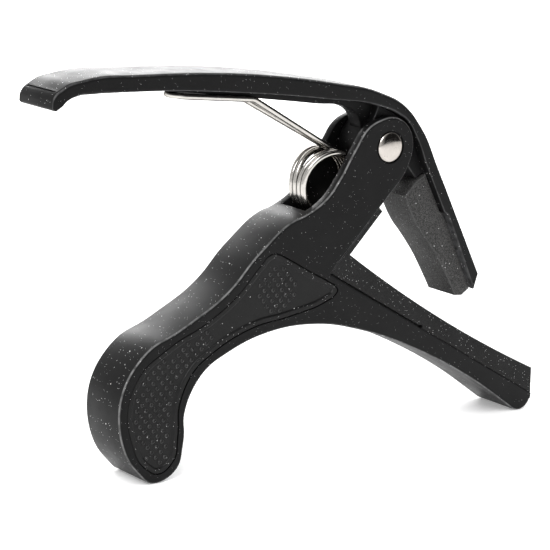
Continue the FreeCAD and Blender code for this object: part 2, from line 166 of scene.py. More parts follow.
def arc_about(centre, radius, start, end):
    """Samples on an arc between two angles, without the last point."""
    count = max(2, math.ceil(abs(math.radians(end - start)) / ARC_STEP))
    return [polar(centre, radius, start + (end - start) * i / count) for i in range(count)]


def tangent_arc(start, heading, end):
    """Samples on the arc that leaves start along heading and reaches end."""
    along = unit(end[0] - start[0], end[1] - start[1])
    turn = math.atan2(
        heading[0] * along[1] - heading[1] * along[0],
        heading[0] * along[0] + heading[1] * along[1],
    )
    length = math.hypot(end[0] - start[0], end[1] - start[1])
    if abs(turn) < 1e-4:
        return line(start, end)
    radius = length / (2 * math.sin(turn))
    centre = (start[0] - heading[1] * radius, start[1] + heading[0] * radius)
    first = math.atan2(start[1] - centre[1], start[0] - centre[0])
    by_angle = abs(2 * turn) / ARC_STEP
    by_length = abs(2 * turn * radius) / LONGEST
    count = max(1, math.ceil(max(by_angle, by_length)))
    return [
        polar(centre, abs(radius), math.degrees(first + 2 * turn * i / count))
        for i in range(count)
    ]


def biarc(start, leave, end, arrive):
    """Two arcs that join smoothly between two points with given directions."""
    gap = (end[0] - start[0], end[1] - start[1])
    both = (leave[0] + arrive[0], leave[1] + arrive[1])
    across = gap[0] * both[0] + gap[1] * both[1]
    square = gap[0] ** 2 + gap[1] ** 2
    spread = 2 * (1 - leave[0] * arrive[0] - leave[1] * arrive[1])
    if spread < 1e-9:
        reach = square / (2 * across)
    else:
        reach = (math.sqrt(across ** 2 + spread * square) - across) / spread
    joint = (
        (start[0] + end[0] + reach * (leave[0] - arrive[0])) / 2,
        (start[1] + end[1] + reach * (leave[1] - arrive[1])) / 2,
    )
    turned = (start[0] + reach * leave[0], start[1] + reach * leave[1])
    middle_heading = unit(joint[0] - turned[0], joint[1] - turned[1])
    return tangent_arc(start, leave, joint) + tangent_arc(joint, middle_heading, end)


def mirrored(heading, step):
    along = unit(*step)
    dot = 2 * (heading[0] * along[0] + heading[1] * along[1])
    return (dot * along[0] - heading[0], dot * along[1] - heading[1])


def smooth(*points, leave=None, arrive=None, closed=False):
    """Smooth chain of arcs through profile points, sampled, without the last point."""
    count = len(points)
    steps = [(b[0] - a[0], b[1] - a[1]) for a, b in zip(points, points[1:])]
    headings = []
    for i in range(count):
        before = steps[i - 1] if i > 0 else steps[-1]
        after = steps[i] if i < count - 1 else steps[0]
        ratio = math.hypot(*after) / math.hypot(*before)
        headings.append(unit(*(b * ratio + a / ratio for b, a in zip(before, after))))
    if not closed:
        headings[0] = unit(*leave) if leave else mirrored(headings[1], steps[0])
        headings[-1] = unit(*arrive) if arrive else mirrored(headings[-2], steps[-1])
    samples = []
    for i in range(count - 1):
        samples += biarc(points[i], headings[i], points[i + 1], headings[i + 1])
    return samples


def area_of(outline):
    total = 0.0
    for a, b in zip(outline, outline[1:] + outline[:1]):
        total += a[0] * b[1] - b[0] * a[1]
    return total / 2


def cleaned(outline):
    """Outline without repeated points, running counter-clockwise seen from -Y."""
    kept = []
    for p in outline:
        if not kept or math.hypot(p[0] - kept[-1][0], p[1] - kept[-1][1]) > 0.02:
            kept.append(p)
    if math.hypot(kept[0][0] - kept[-1][0], kept[0][1] - kept[-1][1]) < 0.02:
        kept.pop()
    return kept if area_of(kept) > 0 else kept[::-1]


def near_outline(point, outline, tree):
    """Distance from a point to an outline, from its nearest vertex's two edges."""
    _, index, _ = tree.find((point[0], point[1], 0))
    best = 1e9
    count = len(outline)
    for k in range(index - 2, index + 2):
        a, b = outline[k % count], outline[(k + 1) % count]
        dx, dz = b[0] - a[0], b[1] - a[1]
        t = ((point[0] - a[0]) * dx + (point[1] - a[1]) * dz) / (dx * dx + dz * dz)
        t = min(1, max(0, t))
        best = min(best, math.hypot(point[0] - a[0] - t * dx, point[1] - a[1] - t * dz))
    return best


def inset(outline, distances):
    """Outline moved inward by a distance per point; crossed loops are pulled together."""
    count = len(outline)
    tree = kdtree.KDTree(count)
    for i, p in enumerate(outline):
        tree.insert((p[0], p[1], 0), i)
    tree.balance()
    moved, sound = [], []
    for i in range(count):
        before, here, after = outline[i - 1], outline[i], outline[(i + 1) % count]
        d1 = unit(here[0] - before[0], here[1] - before[1])
        d2 = unit(after[0] - here[0], after[1] - here[1])
        nx, nz = -(d1[1] + d2[1]), d1[0] + d2[0]
        scale = max(0.35, (1 + d1[0] * d2[0] + d1[1] * d2[1]))
        q = (here[0] + distances[i] * nx / scale, here[1] + distances[i] * nz / scale)
        moved.append(q)
        sound.append(near_outline(q, outline, tree) > abs(distances[i]) * 0.985 - 1e-6)
    if not any(sound):
        return moved
    result = list(moved)
    i = 0
    while i < count:
        if sound[i]:
            i += 1
            continue
        j = i
        while not sound[j % count] and j < i + count:
            j += 1
        a, b = moved[(i - 1) % count], moved[j % count]
        for k in range(i, j):
            result[k % count] = ((a[0] + b[0]) / 2, (a[1] + b[1]) / 2)
        i = j
    return result


# ---- mesh helpers ---------------------------------------------------------------------
def vector(point, y):
    return Vector(((point[0] - CENTRE_X) * MM, y * MM, point[1] * MM))


def linked(name, data):
    """New object for a mesh, light or camera, linked to the scene."""
    obj = bpy.data.objects.new(name, data)
    bpy.context.scene.collection.objects.link(obj)
    return obj


def as_mesh(name, bm):
    """Mesh of a welded bmesh, which is used up."""
    bmesh.ops.remove_doubles(bm, verts=bm.verts, dist=WELD)
    bmesh.ops.recalc_face_normals(bm, faces=bm.faces)
    mesh = bpy.data.meshes.new(name)
    bm.to_mesh(mesh)
    bm.free()
    return mesh


def mesh_object(name, bm, smooth_angle=38):
    mesh = as_mesh(name, bm)
    mesh.shade_smooth()
    mesh.set_sharp_from_angle(angle=math.radians(smooth_angle))
    return linked(name, mesh)


def temp_object(bm, name="cutter"):
    """Object for a boolean, removed again once it is used."""
    return linked(name, as_mesh(name, bm))


def taken(obj):
    """The mesh of a temporary object as a bmesh; the object is removed."""
    bm = bmesh.new()
    bm.from_mesh(obj.data)
    bpy.data.objects.remove(obj)
    return bm


def loft(bm, rings):
    """Quads between closed rings of equal length; the ends are filled."""
    made = [[bm.verts.new(v) for v in ring] for ring in rings]
    count = len(made[0])
    for low, high in zip(made, made[1:]):
        for i in range(count):
            j = (i + 1) % count
            bm.faces.new((low[i], low[j], high[j], high[i]))
    bm.faces.new(made[0][::-1])
    bm.faces.new(made[-1])


def rounded_prism(outline, half, radius, steps=4, support=0.15):
    """Moulded slab: a profile across Y with rounded side edges.

    radius is a number, or a function that gives one for each point of the profile.
    """
    outline = cleaned(outline)
    radii = [radius(p) for p in outline] if callable(radius) else [radius] * len(outline)

    def side(sign):
        flat = inset(outline, [r + support for r in radii])
        made = [[vector(p, sign * half) for p in flat]]
        for k in range(steps + 1):
            angle = math.pi / 2 * k / steps
            ring = inset(outline, [r * (1 - math.sin(angle)) for r in radii])
            made.append([
                vector(p, sign * (half - r * (1 - math.cos(angle)))) for p, r in zip(ring, radii)
            ])
        return made

    bm = bmesh.new()
    loft(bm, side(-1) + side(1)[::-1])
    return bm


def plain_prism(outline, low, high):
    """Sharp-edged slab between two Y levels."""
    outline = cleaned(outline)
    bm = bmesh.new()
    loft(bm, [[vector(p, low) for p in outline], [vector(p, high) for p in outline]])
    bmesh.ops.recalc_face_normals(bm, faces=bm.faces)
    return bm


def boolean(base, tools, operation):
    """Exact boolean of a temporary object with others, applied."""
    for tool in tools:
        modifier = base.modifiers.new("cut", "BOOLEAN")
        modifier.operation = operation
        modifier.solver = "EXACT"
        modifier.object = tool
    graph = bpy.context.evaluated_depsgraph_get()
    mesh = bpy.data.meshes.new_from_object(base.evaluated_get(graph))
    base.modifiers.clear()
    base.data = mesh
    for tool in tools:
        bpy.data.objects.remove(tool)
    return base


def soften(obj, width, keep):
    """Bevels the sharp edges that pass the test keep(a, b), given their ends in millimetres."""
    bm = taken(obj)
    bmesh.ops.remove_doubles(bm, verts=bm.verts, dist=WELD)
    bmesh.ops.dissolve_degenerate(bm, dist=WELD / 2, edges=bm.edges)
    bm.normal_update()
    sharp = math.radians(34)
    chosen = []
    for edge in bm.edges:
        if len(edge.link_faces) != 2 or edge.calc_face_angle_signed(0) < sharp:
            continue
        a, b = (v.co / MM for v in edge.verts)
        if keep(a, b):
            chosen.append(edge)
    bmesh.ops.bevel(
        bm, geom=chosen, offset=width * MM, segments=2, profile=0.5,
        affect="EDGES", clamp_overlap=True, miter_outer="ARC",
    )
    return bm


def lathe(profile):
    """Turned shape about the rivet's axis; profile is (radius, y) from axis to axis."""
    bm = bmesh.new()
    steps = 72
    rings = []
    for radius, y in profile:
        places = [PIVOT]
        if radius > 0:
            places = [polar(PIVOT, radius, 360 * i / steps) for i in range(steps)]
        rings.append([bm.verts.new(vector(p, y)) for p in places])
    for low, high in zip(rings, rings[1:]):
        for i in range(steps):
            j = (i + 1) % steps
            around = ((low, i), (low, j), (high, j), (high, i))
            distinct = list(dict.fromkeys(ring[k % len(ring)] for ring, k in around))
            if len(distinct) > 2:
                bm.faces.new(distinct)
    return bm


def tube(points, radius, sides=20):
    """Round wire through points; radius is a function of the sample's number."""
    bm = bmesh.new()
    count = len(points)
    tangents = []
    for i in range(count):
        tangents.append((points[min(i + 1, count - 1)] - points[max(i - 1, 0)]).normalized())
    side = tangents[0].orthogonal().normalized()
    angles = [2 * math.pi * k / sides for k in range(sides)]
    rings = []
    for i in range(count):
        if i:
            side = tangents[i - 1].rotation_difference(tangents[i]) @ side
        other = tangents[i].cross(side)
        r = radius(i)
        rings.append([points[i] + r * (math.cos(a) * side + math.sin(a) * other) for a in angles])
    loft(bm, rings)
    return bm


# ---- outlines --------------------------------------------------------------------------
def body_outline():
    bar_tip = (BAR_END_X - BAR_TIP_RADIUS, BAR_TIP_RADIUS)
    under_end = polar(bar_tip, BAR_TIP_RADIUS, -126)
    ear_top = polar(PIVOT, EAR_RADIUS, 100)
    ear_front = polar(PIVOT, EAR_RADIUS, 0)
    points = arc_about(PIVOT, EAR_RADIUS, 0, 100)
    points += smooth(
        ear_top, (14.7, 60.7), (11.0, 56.2), (8.2, 51.9), (4.9, 48.1), (0.6, 45.7),
        (-3.0, 44.6),
        leave=(-1, -0.18), arrive=(-1, -0.42),
    )
    points += smooth(
        (-3.0, 44.6), (-9.8, 39.9), (-17.3, 33.0), (-26.7, 27.9), (-34.6, 24.3),
        (-39.3, 18.0), (-39.9, 10.6), (-36.8, 3.4), (-32.2, 0.0),
        leave=(-1, -0.42), arrive=(1, 0),
    )
    points += smooth(
        (-32.2, 0.0), (-27.9, 1.7), (-26.2, 7.0), (-26.0, 12.3), (-22.6, 18.5),
        (-15.0, 22.7), (-5.6, 24.8), (4.5, 24.4), (15.5, 21.4), (28.0, 16.0), (40.4, 9.1),
        under_end,
        leave=(1, 0), arrive=(1, -0.727),
    )
    points += arc_about(bar_tip, BAR_TIP_RADIUS, -126, 0)
    points += line((BAR_END_X, BAR_TIP_RADIUS), THROAT_FOOT, THROAT_TOP)
    points += smooth(THROAT_TOP, (23.2, 51.1), ear_front, leave=(1, 1), arrive=(0, 1))
    return points


def pocket_outline():
    """The space between the ears: a well for the coil, a round for the boss, open above."""
    well, lug = 7.5, 6.3
    front_edge = (1.85, 45.5)
    points = arc_about(COIL, well, 215.6, 320)
    points += line(polar(COIL, well, -40), polar(PIVOT, lug, -100))
    points += arc_about(PIVOT, lug, -100, -20)
    points += line(polar(PIVOT, lug, -20), (36, 54), (36, 70), (-8, 70), (-8, 52), front_edge)
    return points


def panel_outline():
    return smooth(
        (-5.6, 38.95), (-4.0, 38.1), (1.1, 35.1), (5.9, 32.4), (7.5, 31.35), (7.9, 30.4),
        (7.2, 29.5), (5.2, 28.6), (-3.0, 26.9), (-11.6, 25.8), (-19.2, 22.9), (-24.6, 19.1),
        (-27.2, 13.8), (-27.5, 8.2), (-28.4, 3.6), (-31.6, 1.6), (-34.9, 3.4), (-37.7, 9.0),
        (-38.3, 14.8), (-35.9, 20.4), (-29.1, 25.1), (-21.5, 28.3), (-15.4, 32.1),
        (-9.9, 37.4), (-8.2, 38.95), (-6.9, 39.3), (-5.6, 38.95), closed=True,
    )


def string_pad_outline():
    top_end = (BAR_END_X, PAD_END_Z)
    chord = (top_end[0] - PAD_CORNER[0], top_end[1] - PAD_CORNER[1])
    length = math.hypot(*chord)
    sag = PAD_HOLLOW
    radius = (length ** 2 / 4 + sag ** 2) / (2 * sag)
    turn = math.asin(length / 2 / radius)
    along = unit(*chord)
    leave = (
        along[0] * math.cos(turn) + along[1] * math.sin(turn),
        along[1] * math.cos(turn) - along[0] * math.sin(turn),
    )
    step = LIP_THICK / math.sqrt(2)
    lip_inner = (17.4, 45.1)
    lip_outer = (lip_inner[0] + step, lip_inner[1] - step)
    points = line(THROAT_FOOT, lip_inner, lip_outer, PAD_CORNER)
    points += tangent_arc(PAD_CORNER, leave, top_end)
    points += line(top_end, (BAR_END_X, BAR_TIP_RADIUS), THROAT_FOOT)
    return points


def jaw_inside():
    """Corners of the jaw plate's inner face, from its end up to the step under the rim."""
    return [
        jaw(JAW_LENGTH + JAW_CHAMFER + 0.2, 2.25), jaw(JAW_SEAT, JAW_THICK),
        jaw(JAW_SEAT - 1, JAW_RIM),
    ]


def lever_outline():
    rim_top = jaw(-2.2, JAW_RIM)
    points = smooth(
        LEVER_TIP, (-53.3, 71.0), (-50.8, 73.0), (-46.5, 73.95), (-34.3, 73.9),
        (-10.6, 72.2), (5.0, 69.7), (16.4, 67.1), (22.7, 64.1), (27.3, 59.0), JAW_START,
        leave=(0.05, 1), arrive=(JAW_RUN, -JAW_FALL),
    )
    points += line(
        JAW_START, jaw(JAW_LENGTH, 0), jaw(JAW_LENGTH + JAW_CHAMFER, JAW_CHAMFER), *jaw_inside(),
        rim_top,
    )
    points += smooth(
        rim_top, (25.8, 57.7), (23.6, 60.9), (21.0, 62.6), (15.8, 64.6), (4.0, 66.7),
        (-13.0, 69.05), (-32.4, 70.85), (-38.5, 71.1), (-45.0, 71.25), (-48.4, 71.15),
        (-50.2, 70.6), (-51.8, 69.4), (-52.9, 69.0), LEVER_TIP,
        leave=(-JAW_RUN, JAW_FALL), arrive=(0.05, 1),
    )
    return points


def web_outline():
    """The rib under the lever, and its gusset down to the boss."""
    boss_low = polar(PIVOT, BOSS_RADIUS, 140)
    points = line((-31.0, 71.2), (-30.6, 70.4), (-9.6, 67.4))
    points += smooth(
        (-9.6, 67.4), (4.0, 65.35), (11.8, 64.05), (13.4, 63.3), (14.9, 61.2), boss_low,
        leave=(1, -0.15), arrive=(0.5, -1),
    )
    points += line(boss_low, PIVOT, jaw(-3.0, 1.0), (23.2, 62.6), (15.0, 66.5), (-31.0, 71.2))
    return points


def boss_outline():
    """The block that turns between the ears, with its roots in the lever and the jaw."""
    left_foot = polar(PIVOT, BOSS_RADIUS, 122)
    right_foot = polar(PIVOT, BOSS_RADIUS, -30)
    points = smooth(left_foot, (17.3, 62.3), (18.0, 64.2), leave=(0.5, 1), arrive=(0.15, 1))
    points += line((18.0, 64.2), (19.0, 65.2), (23.6, 62.6), (27.0, 58.6), jaw(-2.5, 1.0))
    points += line(jaw(-2.5, 1.0), jaw(-1.4, JAW_RIM), jaw(-1.4, 4.3), right_foot)
    points += arc_about(PIVOT, BOSS_RADIUS, -30, -238)
    return points


def neck_pad_outline():
    face_top = jaw(0.1, 8.2)
    face_end = jaw(24.7, 5.9)
    plate_end, step_low, step_high = jaw_inside()
    points = line(step_low, step_high, jaw(-1.0, JAW_RIM), jaw(-1.0, 4.8), face_top)
    points += smooth(
        face_top, jaw(6.6, 8.25), jaw(11.0, 7.3), jaw(15.5, 6.5), jaw(20.3, 6.1), face_end
    )
    points += line(
        face_end, jaw(25.7, 4.4), jaw(JAW_LENGTH + JAW_CHAMFER + 0.4, 2.3), plate_end, step_low
    )
    return points


# ---- materials ---------------------------------------------------------------------------
def tree_of(name):
    material = bpy.data.materials.new(name)
    material.use_nodes = True
    tree = material.node_tree
    shader = tree.nodes["Principled BSDF"]
    return material, tree, shader


def add(tree, kind, inputs=None, **settings):
    node = tree.nodes.new(kind)
    for key, value in settings.items():
        setattr(node, key, value)
    for key, value in (inputs or {}).items():
        if isinstance(value, bpy.types.NodeSocket):
            tree.links.new(value, node.inputs[key])
        else:
            node.inputs[key].default_value = value
    return node


def ramp(tree, value, stops):
    node = add(tree, "ShaderNodeValToRGB", {"Fac": value})
    elements = node.color_ramp.elements
    while len(elements) < len(stops):
        elements.new(0.5)
    for element, (place, colour) in zip(elements, stops):
        element.position = place
        element.color = colour if len(colour) == 4 else (*colour, 1)
    return node.outputs["Color"]


def grey(v):
    return (v, v, v, 1)


def mix(tree, factor, a, b, blend_type="MIX"):
    node = tree.nodes.new("ShaderNodeMix")
    node.data_type = "RGBA"
    node.blend_type = blend_type
    for socket, value in ((0, factor), (6, a), (7, b)):
        if isinstance(value, bpy.types.NodeSocket):
            tree.links.new(value, node.inputs[socket])
        else:
            node.inputs[socket].default_value = value
    return node.outputs[2]


def noise(tree, where, scale, detail=3.0):
    node = add(tree, "ShaderNodeTexNoise", {
        "Vector": where, "Scale": scale, "Detail": detail, "Roughness": 0.55,
    })
    return node.outputs["Fac"]


def maths(tree, operation, a, b):
    return add(tree, "ShaderNodeMath", {0: a, 1: b}, operation=operation).outputs[0]


def specks(tree, where, scale, size, share):
    """1 on sparse round specks: one in every few cells, each of its own size."""
    cells = add(tree, "ShaderNodeTexVoronoi", {"Vector": where, "Scale": scale})
    split = add(tree, "ShaderNodeSeparateColor", {"Color": cells.outputs["Color"]})
    chosen = maths(tree, "LESS_THAN", split.outputs["Red"], share)
    reach = maths(tree, "MULTIPLY", split.outputs["Green"], size * scale)
    near = maths(tree, "LESS_THAN", cells.outputs["Distance"], reach)
    return maths(tree, "MULTIPLY", chosen, near)


def moulded(
    name, colour, painted_light_tone, roughness, grain, specular=0.16, dust=0.4, dust_tone=0.75,
    grain_scale=9000, mottle=0.2,
):
    """Dark moulded plastic or rubber: fine grain, uneven sheen, painted highlights on marked
    faces, and dust.
    """
    material, tree, shader = tree_of(name)
    where = add(tree, "ShaderNodeTexCoord").outputs["Object"]
    cloudy = noise(tree, where, 90, 4)
    tone = ramp(tree, cloudy, [
        (0.3, tuple(c * 0.8 for c in colour)), (0.7, tuple(c * 1.25 for c in colour)),
    ])
    mottled = ramp(tree, noise(tree, where, 4200, 2), [(0.38, grey(1 - mottle)), (0.62, grey(1))])
    tone = mix(tree, 1.0, tone, mottled, "MULTIPLY")
    # Painted highlight: marked faces take a lighter tone, broken up by noise. These are the
    # middle of each rounded side edge, and the jaw plate's inner face, which lies in shade.
    edge = add(tree, "ShaderNodeAttribute", attribute_name="edge").outputs["Fac"]
    highlight_breakup = ramp(tree, noise(tree, where, 700, 5), [(0.32, grey(0.25)), (0.6, grey(1))])
    painted_light_mask = mix(tree, 1.0, edge, highlight_breakup, "MULTIPLY")
    tone = mix(tree, painted_light_mask, tone, (*painted_light_tone, 1))
    fleck = specks(tree, where, 1000, 0.00012, dust * 0.8)
    fine = specks(tree, where, 2600, 0.00007, dust)
    dusty = maths(tree, "MAXIMUM", fleck, fine)
    tone = mix(tree, dusty, tone, grey(dust_tone))
    tree.links.new(tone, shader.inputs["Base Color"])
    patchy = noise(tree, where, 260, 3)
    sheen = ramp(tree, patchy, [
        (0.25, grey(roughness - 0.06)), (0.75, grey(roughness + 0.07)),
    ])
    sheen = mix(tree, painted_light_mask, sheen, grey(0.3))
    sheen = mix(tree, dusty, sheen, grey(0.9))
    tree.links.new(sheen, shader.inputs["Roughness"])
    shader.inputs["Specular IOR Level"].default_value = specular
    small = noise(tree, where, grain_scale, 2)
    large = noise(tree, where, 650, 3)
    surface = mix(tree, 0.25, small, large)
    bump = add(tree, "ShaderNodeBump", {
        "Height": surface, "Strength": grain, "Distance": 0.00005,
    })
    lifted = add(tree, "ShaderNodeBump", {
        "Height": dusty, "Strength": 0.35, "Distance": 0.00006, "Normal": bump.outputs["Normal"],
    })
    tree.links.new(lifted.outputs["Normal"], shader.inputs["Normal"])
    return material


def plated(name, colour, roughness, streaks):
    """Nickel plate: bright, faintly cloudy, with fine draw marks, small nicks and painted shade
    in its crevices.
    """
    material, tree, shader = tree_of(name)
    where = add(tree, "ShaderNodeTexCoord").outputs["Object"]
    cloudy = noise(tree, where, 500, 4)
    tone = ramp(tree, cloudy, [
        (0.3, tuple(c * 0.9 for c in colour)), (0.7, tuple(min(1, c * 1.06) for c in colour)),
    ])
    pits = ramp(tree, noise(tree, where, 2600, 3), [(0.66, grey(0)), (0.76, grey(1))])
    tone = mix(tree, pits, tone, (*(c * 0.45 for c in colour), 1))
    # Painted shade: ambient occlusion darkens the base colour in creases and between the spring's
    # turns.
    hollow = add(tree, "ShaderNodeAmbientOcclusion", {"Distance": 0.0006}).outputs["AO"]
    painted_crevice_shade = ramp(tree, hollow, [(0.35, grey(0.02)), (0.85, grey(1))])
    tone = mix(tree, 1.0, tone, painted_crevice_shade, "MULTIPLY")
    tree.links.new(tone, shader.inputs["Base Color"])
    shader.inputs["Metallic"].default_value = 1.0
    shader.inputs["Specular Tint"].default_value = (0.1, 0.1, 0.1, 1)
    uneven = ramp(tree, noise(tree, where, 1400, 4), [
        (0.3, grey(roughness)), (0.75, grey(roughness + 0.14)),
    ])
    tree.links.new(uneven, shader.inputs["Roughness"])
    marks = noise(tree, where, 4200, 3)
    bump = add(tree, "ShaderNodeBump", {
        "Height": marks, "Strength": streaks, "Distance": 0.00002,
    })
    tree.links.new(bump.outputs["Normal"], shader.inputs["Normal"])
    return material


# The second colour of each is a painted highlight on the marked rounded edges; on the lever it is
# also painted light on the jaw plate's inner face.
body_black = moulded(
    "satin_black_plastic", (0.0062, 0.0062, 0.0064), (0.16, 0.16, 0.16),
    roughness=0.42, grain=0.22, specular=0.13,
)
lever_black = moulded(
    "lever_black_plastic", (0.0066, 0.0066, 0.0068), (0.06, 0.06, 0.061),
    roughness=0.44, grain=0.2, specular=0.13,
)
inlay_black = moulded(
    "inlay_black_plastic", (0.0064, 0.0064, 0.0064), (0.05, 0.05, 0.05),
    roughness=0.4, grain=0.5, specular=0.2, mottle=0.3,
)
string_rubber = moulded(
    "black_silicone", (0.019, 0.019, 0.0192), (0.035, 0.035, 0.035),
    roughness=0.6, grain=0.7, dust=0.5, mottle=0.65,
)
neck_rubber = moulded(
    "grey_rubber", (0.066, 0.065, 0.064), (0.07, 0.07, 0.07),
    roughness=0.62, grain=0.9, specular=0.2, dust=0.5, dust_tone=0.5, grain_scale=5000,
    mottle=0.7,
)
nickel = plated("nickel_rivet", (0.52, 0.485, 0.45), 0.09, 0.08)
wire_nickel = plated("nickel_wire", (0.56, 0.54, 0.51), 0.12, 0.2)
washer_nickel = plated("nickel_washer", (0.66, 0.65, 0.63), 0.3, 0.3)


SEAT_ALONG = unit(BAR_END_X - THROAT_FOOT[0], BAR_TIP_RADIUS - THROAT_FOOT[1])


def beside_pad(x, z):
    """True within a millimetre of the bar's seat for the string pad."""
    off = (x - THROAT_FOOT[0]) * SEAT_ALONG[1] - (z - THROAT_FOOT[1]) * SEAT_ALONG[0]
    return abs(off) < 1 and x > THROAT_FOOT[0] - 1


def on_jaw_inside(x, z, normal):
    """True on the jaw plate's inner face, beside the pad."""
    along, inward = on_jaw(x, z)
    facing = -JAW_FALL * normal.x - JAW_RUN * normal.z
    return JAW_SEAT < along < 25.3 and 1.3 < inward < 2.4 and facing > 0.8


def mark_painted_light(mesh):
    """Store 1 where light is painted: the middle of the rounded side edges (painted highlight),
    and the jaw plate's inner face, which lies in shade.
    """
    marks = [0.0] * len(mesh.vertices)
    for face in mesh.polygons:
        x, z = face.center.x / MM + CENTRE_X, face.center.z / MM
        # No painted highlight beside the string pad's seat.
        if beside_pad(x, z):
            continue
        if 0.55 < abs(face.normal.y) < 0.82 or on_jaw_inside(x, z, face.normal):
            for i in face.vertices:
                marks[i] = 1.0
    mesh.attributes.new("edge", "FLOAT", "POINT").data.foreach_set("value", marks)


def place(obj, material, body, nodes, slot):
    mark_painted_light(obj.data)
    obj.data.materials.clear()
    obj.data.materials.append(material)
    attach(obj, body)
    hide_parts(*nodes)
    return obj


# ---- body ------------------------------------------------------------------------------
def on_pocket_wall(a, b):
    """True for an edge along a side wall of the pocket, or across it from wall to wall."""
    slack = 0.02
    if max(abs(abs(a.y) - POCKET_HALF), abs(abs(b.y) - POCKET_HALF)) > slack:
        return max(abs(a.y), abs(b.y)) < POCKET_HALF + slack and abs(a.y - b.y) > 1
    return True


def body_edge(point):
    return SEAM_EDGE if beside_pad(*point) else BODY_EDGE


def cutter_above(outline, side, level):
    """Cutter over an outline, from a distance off the middle out past the body's side."""
    return temp_object(plain_prism(outline, *sorted((side * level, side * (BODY_HALF + 1)))))


def make_body():
    base = temp_object(rounded_prism(body_outline(), BODY_HALF, body_edge), "body_blank")
    pocket = temp_object(plain_prism(pocket_outline(), -POCKET_HALF, POCKET_HALF), "pocket")
    base = boolean(base, [pocket], "DIFFERENCE")
    base = temp_object(soften(base, POCKET_BEVEL, on_pocket_wall), "body_blank")
    tools = []
    for side in (-1, 1):
        tools.append(cutter_above(panel_outline(), side, BODY_HALF - PANEL_DEPTH))
        seat = arc_about(PIVOT, SEAT_RADIUS, 0, 360)
        tools.append(cutter_above(seat, side, BODY_HALF - SEAT_DEPTH))
    base = boolean(base, tools, "DIFFERENCE")
    body = mesh_object("body_moulding", taken(base))
    return place(body, body_black, "frame", ["main_body"], "body")


# ---- grip inlays ----------------------------------------------------------------------
def dot_places(field):
    """Centres of the raised dots: staggered rows over the lobe, and a diamond above."""
    tilt = math.radians(DOT_TILT)

    def place_dot(origin, column, row):
        u, w = column * DOT_PITCH, row * DOT_PITCH / 2
        return (
            origin[0] + u * math.cos(tilt) - w * math.sin(tilt),
            origin[1] + u * math.sin(tilt) + w * math.cos(tilt),
        )

    points = []
    for row in range(-20, 14):
        for column in range(-8, 14):
            point = place_dot(LOBE_DOTS_ORIGIN, column + 0.5 * (row % 2), row)
            if point[0] < LOBE_DOTS_X and inside(point, field):
                points.append(point)
    for row, count in enumerate(DIAMOND_ROWS):
        for column in range(count):
            points.append(place_dot(DIAMOND_CENTRE, column - (count - 1) / 2, row - 4))
    return points


def inside(point, outline):
    """True if a ray from the point crosses the outline an odd number of times."""
    odd = False
    for a, b in zip(outline, outline[1:] + outline[:1]):
        if (a[1] > point[1]) != (b[1] > point[1]):
            if point[0] < (b[0] - a[0]) * (point[1] - a[1]) / (b[1] - a[1]) + a[0]:
                odd = not odd
    return odd


def make_inlay(name, side, node):
    """Inlay with a rounded rim, a sunk field and domed dots, on one side of the body."""
    outline = cleaned(panel_outline())
    floor = BODY_HALF - PANEL_DEPTH
    face = floor + PANEL_THICK
    steps = [
        (PANEL_GAP, floor + 0.02), (PANEL_GAP, face - 0.12), (PANEL_GAP + 0.04, face - 0.04),
        (PANEL_GAP + 0.14, face), (PANEL_GAP + 0.3, face), (FIELD_INSET - 0.25, face),
        (FIELD_INSET - 0.08, face), (FIELD_INSET, face - 0.05),
        (FIELD_INSET + 0.05, face - FIELD_DEPTH + 0.03), (FIELD_INSET + 0.13, face - FIELD_DEPTH),
        (FIELD_INSET + 0.3, face - FIELD_DEPTH),
    ]
    count = len(outline)
    rings = []
    for distance, y in steps:
        rings.append([vector(p, side * y) for p in inset(outline, [distance] * count)])
    bm = bmesh.new()
    loft(bm, rings)
    field = inset(outline, [FIELD_INSET + DOT_RADIUS + DOT_CLEARANCE] * count)
    base = face - FIELD_DEPTH - 0.05
    rise = DOT_HEIGHT + 0.03
    sides, levels = 14, 4
    for centre in dot_places(field):
        rings = []
        for k in range(levels):
            angle = math.pi / 2 * k / levels
            r = DOT_RADIUS * math.cos(angle)
            y = side * (base + rise * math.sin(angle))
            rings.append([vector(polar(centre, r, 360 * i / sides), y) for i in range(sides)])
        loft(bm, rings)
    return place(mesh_object(name, bm, 50), inlay_black, "frame", [node], "grip_panel")


# ---- pads ---------------------------------------------------------------------------------
def make_string_pad():
    """Rubber on the bar, with a narrow groove over its seat that ends in a notch."""
    pad = temp_object(rounded_prism(string_pad_outline(), PAD_HALF, PAD_EDGE, 3), "pad_blank")

    def on_seat(distance, height):
        return (
            THROAT_FOOT[0] + distance * SEAT_ALONG[0] - height * SEAT_ALONG[1],
            THROAT_FOOT[1] + distance * SEAT_ALONG[1] + height * SEAT_ALONG[0],
        )

    groove = [
        on_seat(-0.5, -0.2), on_seat(GROOVE_LENGTH, -0.2), on_seat(GROOVE_LENGTH, NOTCH_HEIGHT),
        on_seat(GROOVE_LENGTH - 0.8, NOTCH_HEIGHT), on_seat(GROOVE_LENGTH - 1, GROOVE_HEIGHT),
        on_seat(0.3, GROOVE_HEIGHT),
    ]
    tools = [cutter_above(groove, side, GROOVE_FLOOR_Y) for side in (-1, 1)]
    rubber = mesh_object("string_pad_rubber", taken(boolean(pad, tools, "DIFFERENCE")))
    return place(rubber, string_rubber, "frame", ["string_pad"], "string_pad")


def make_neck_pad():
    bm = rounded_prism(neck_pad_outline(), NECK_PAD_HALF, NECK_PAD_EDGE, 3)
    rubber = mesh_object("neck_pad_rubber", bm)
    return place(rubber, neck_rubber, "lever", ["neck_pad"], "neck_pad")


# ---- lever --------------------------------------------------------------------------------
def lever_radius(point):
    """Edge radius: broad along the top, less beside the pad, small under the handle."""
    x, z = point
    along, inward = on_jaw(x, z)
    if 8.0 < along < 25 and 1.2 < inward < 2.1:
        return 0.5
    above = z > 71.0 if x < -40 else z > 70.3 - 0.115 * (x + 12)
    if x > 15:
        above = (x - 15) * 0.9 + (z - 67) > -1.0 and not (x < 27 and z < 61)
    return 0.6 if above else 0.3


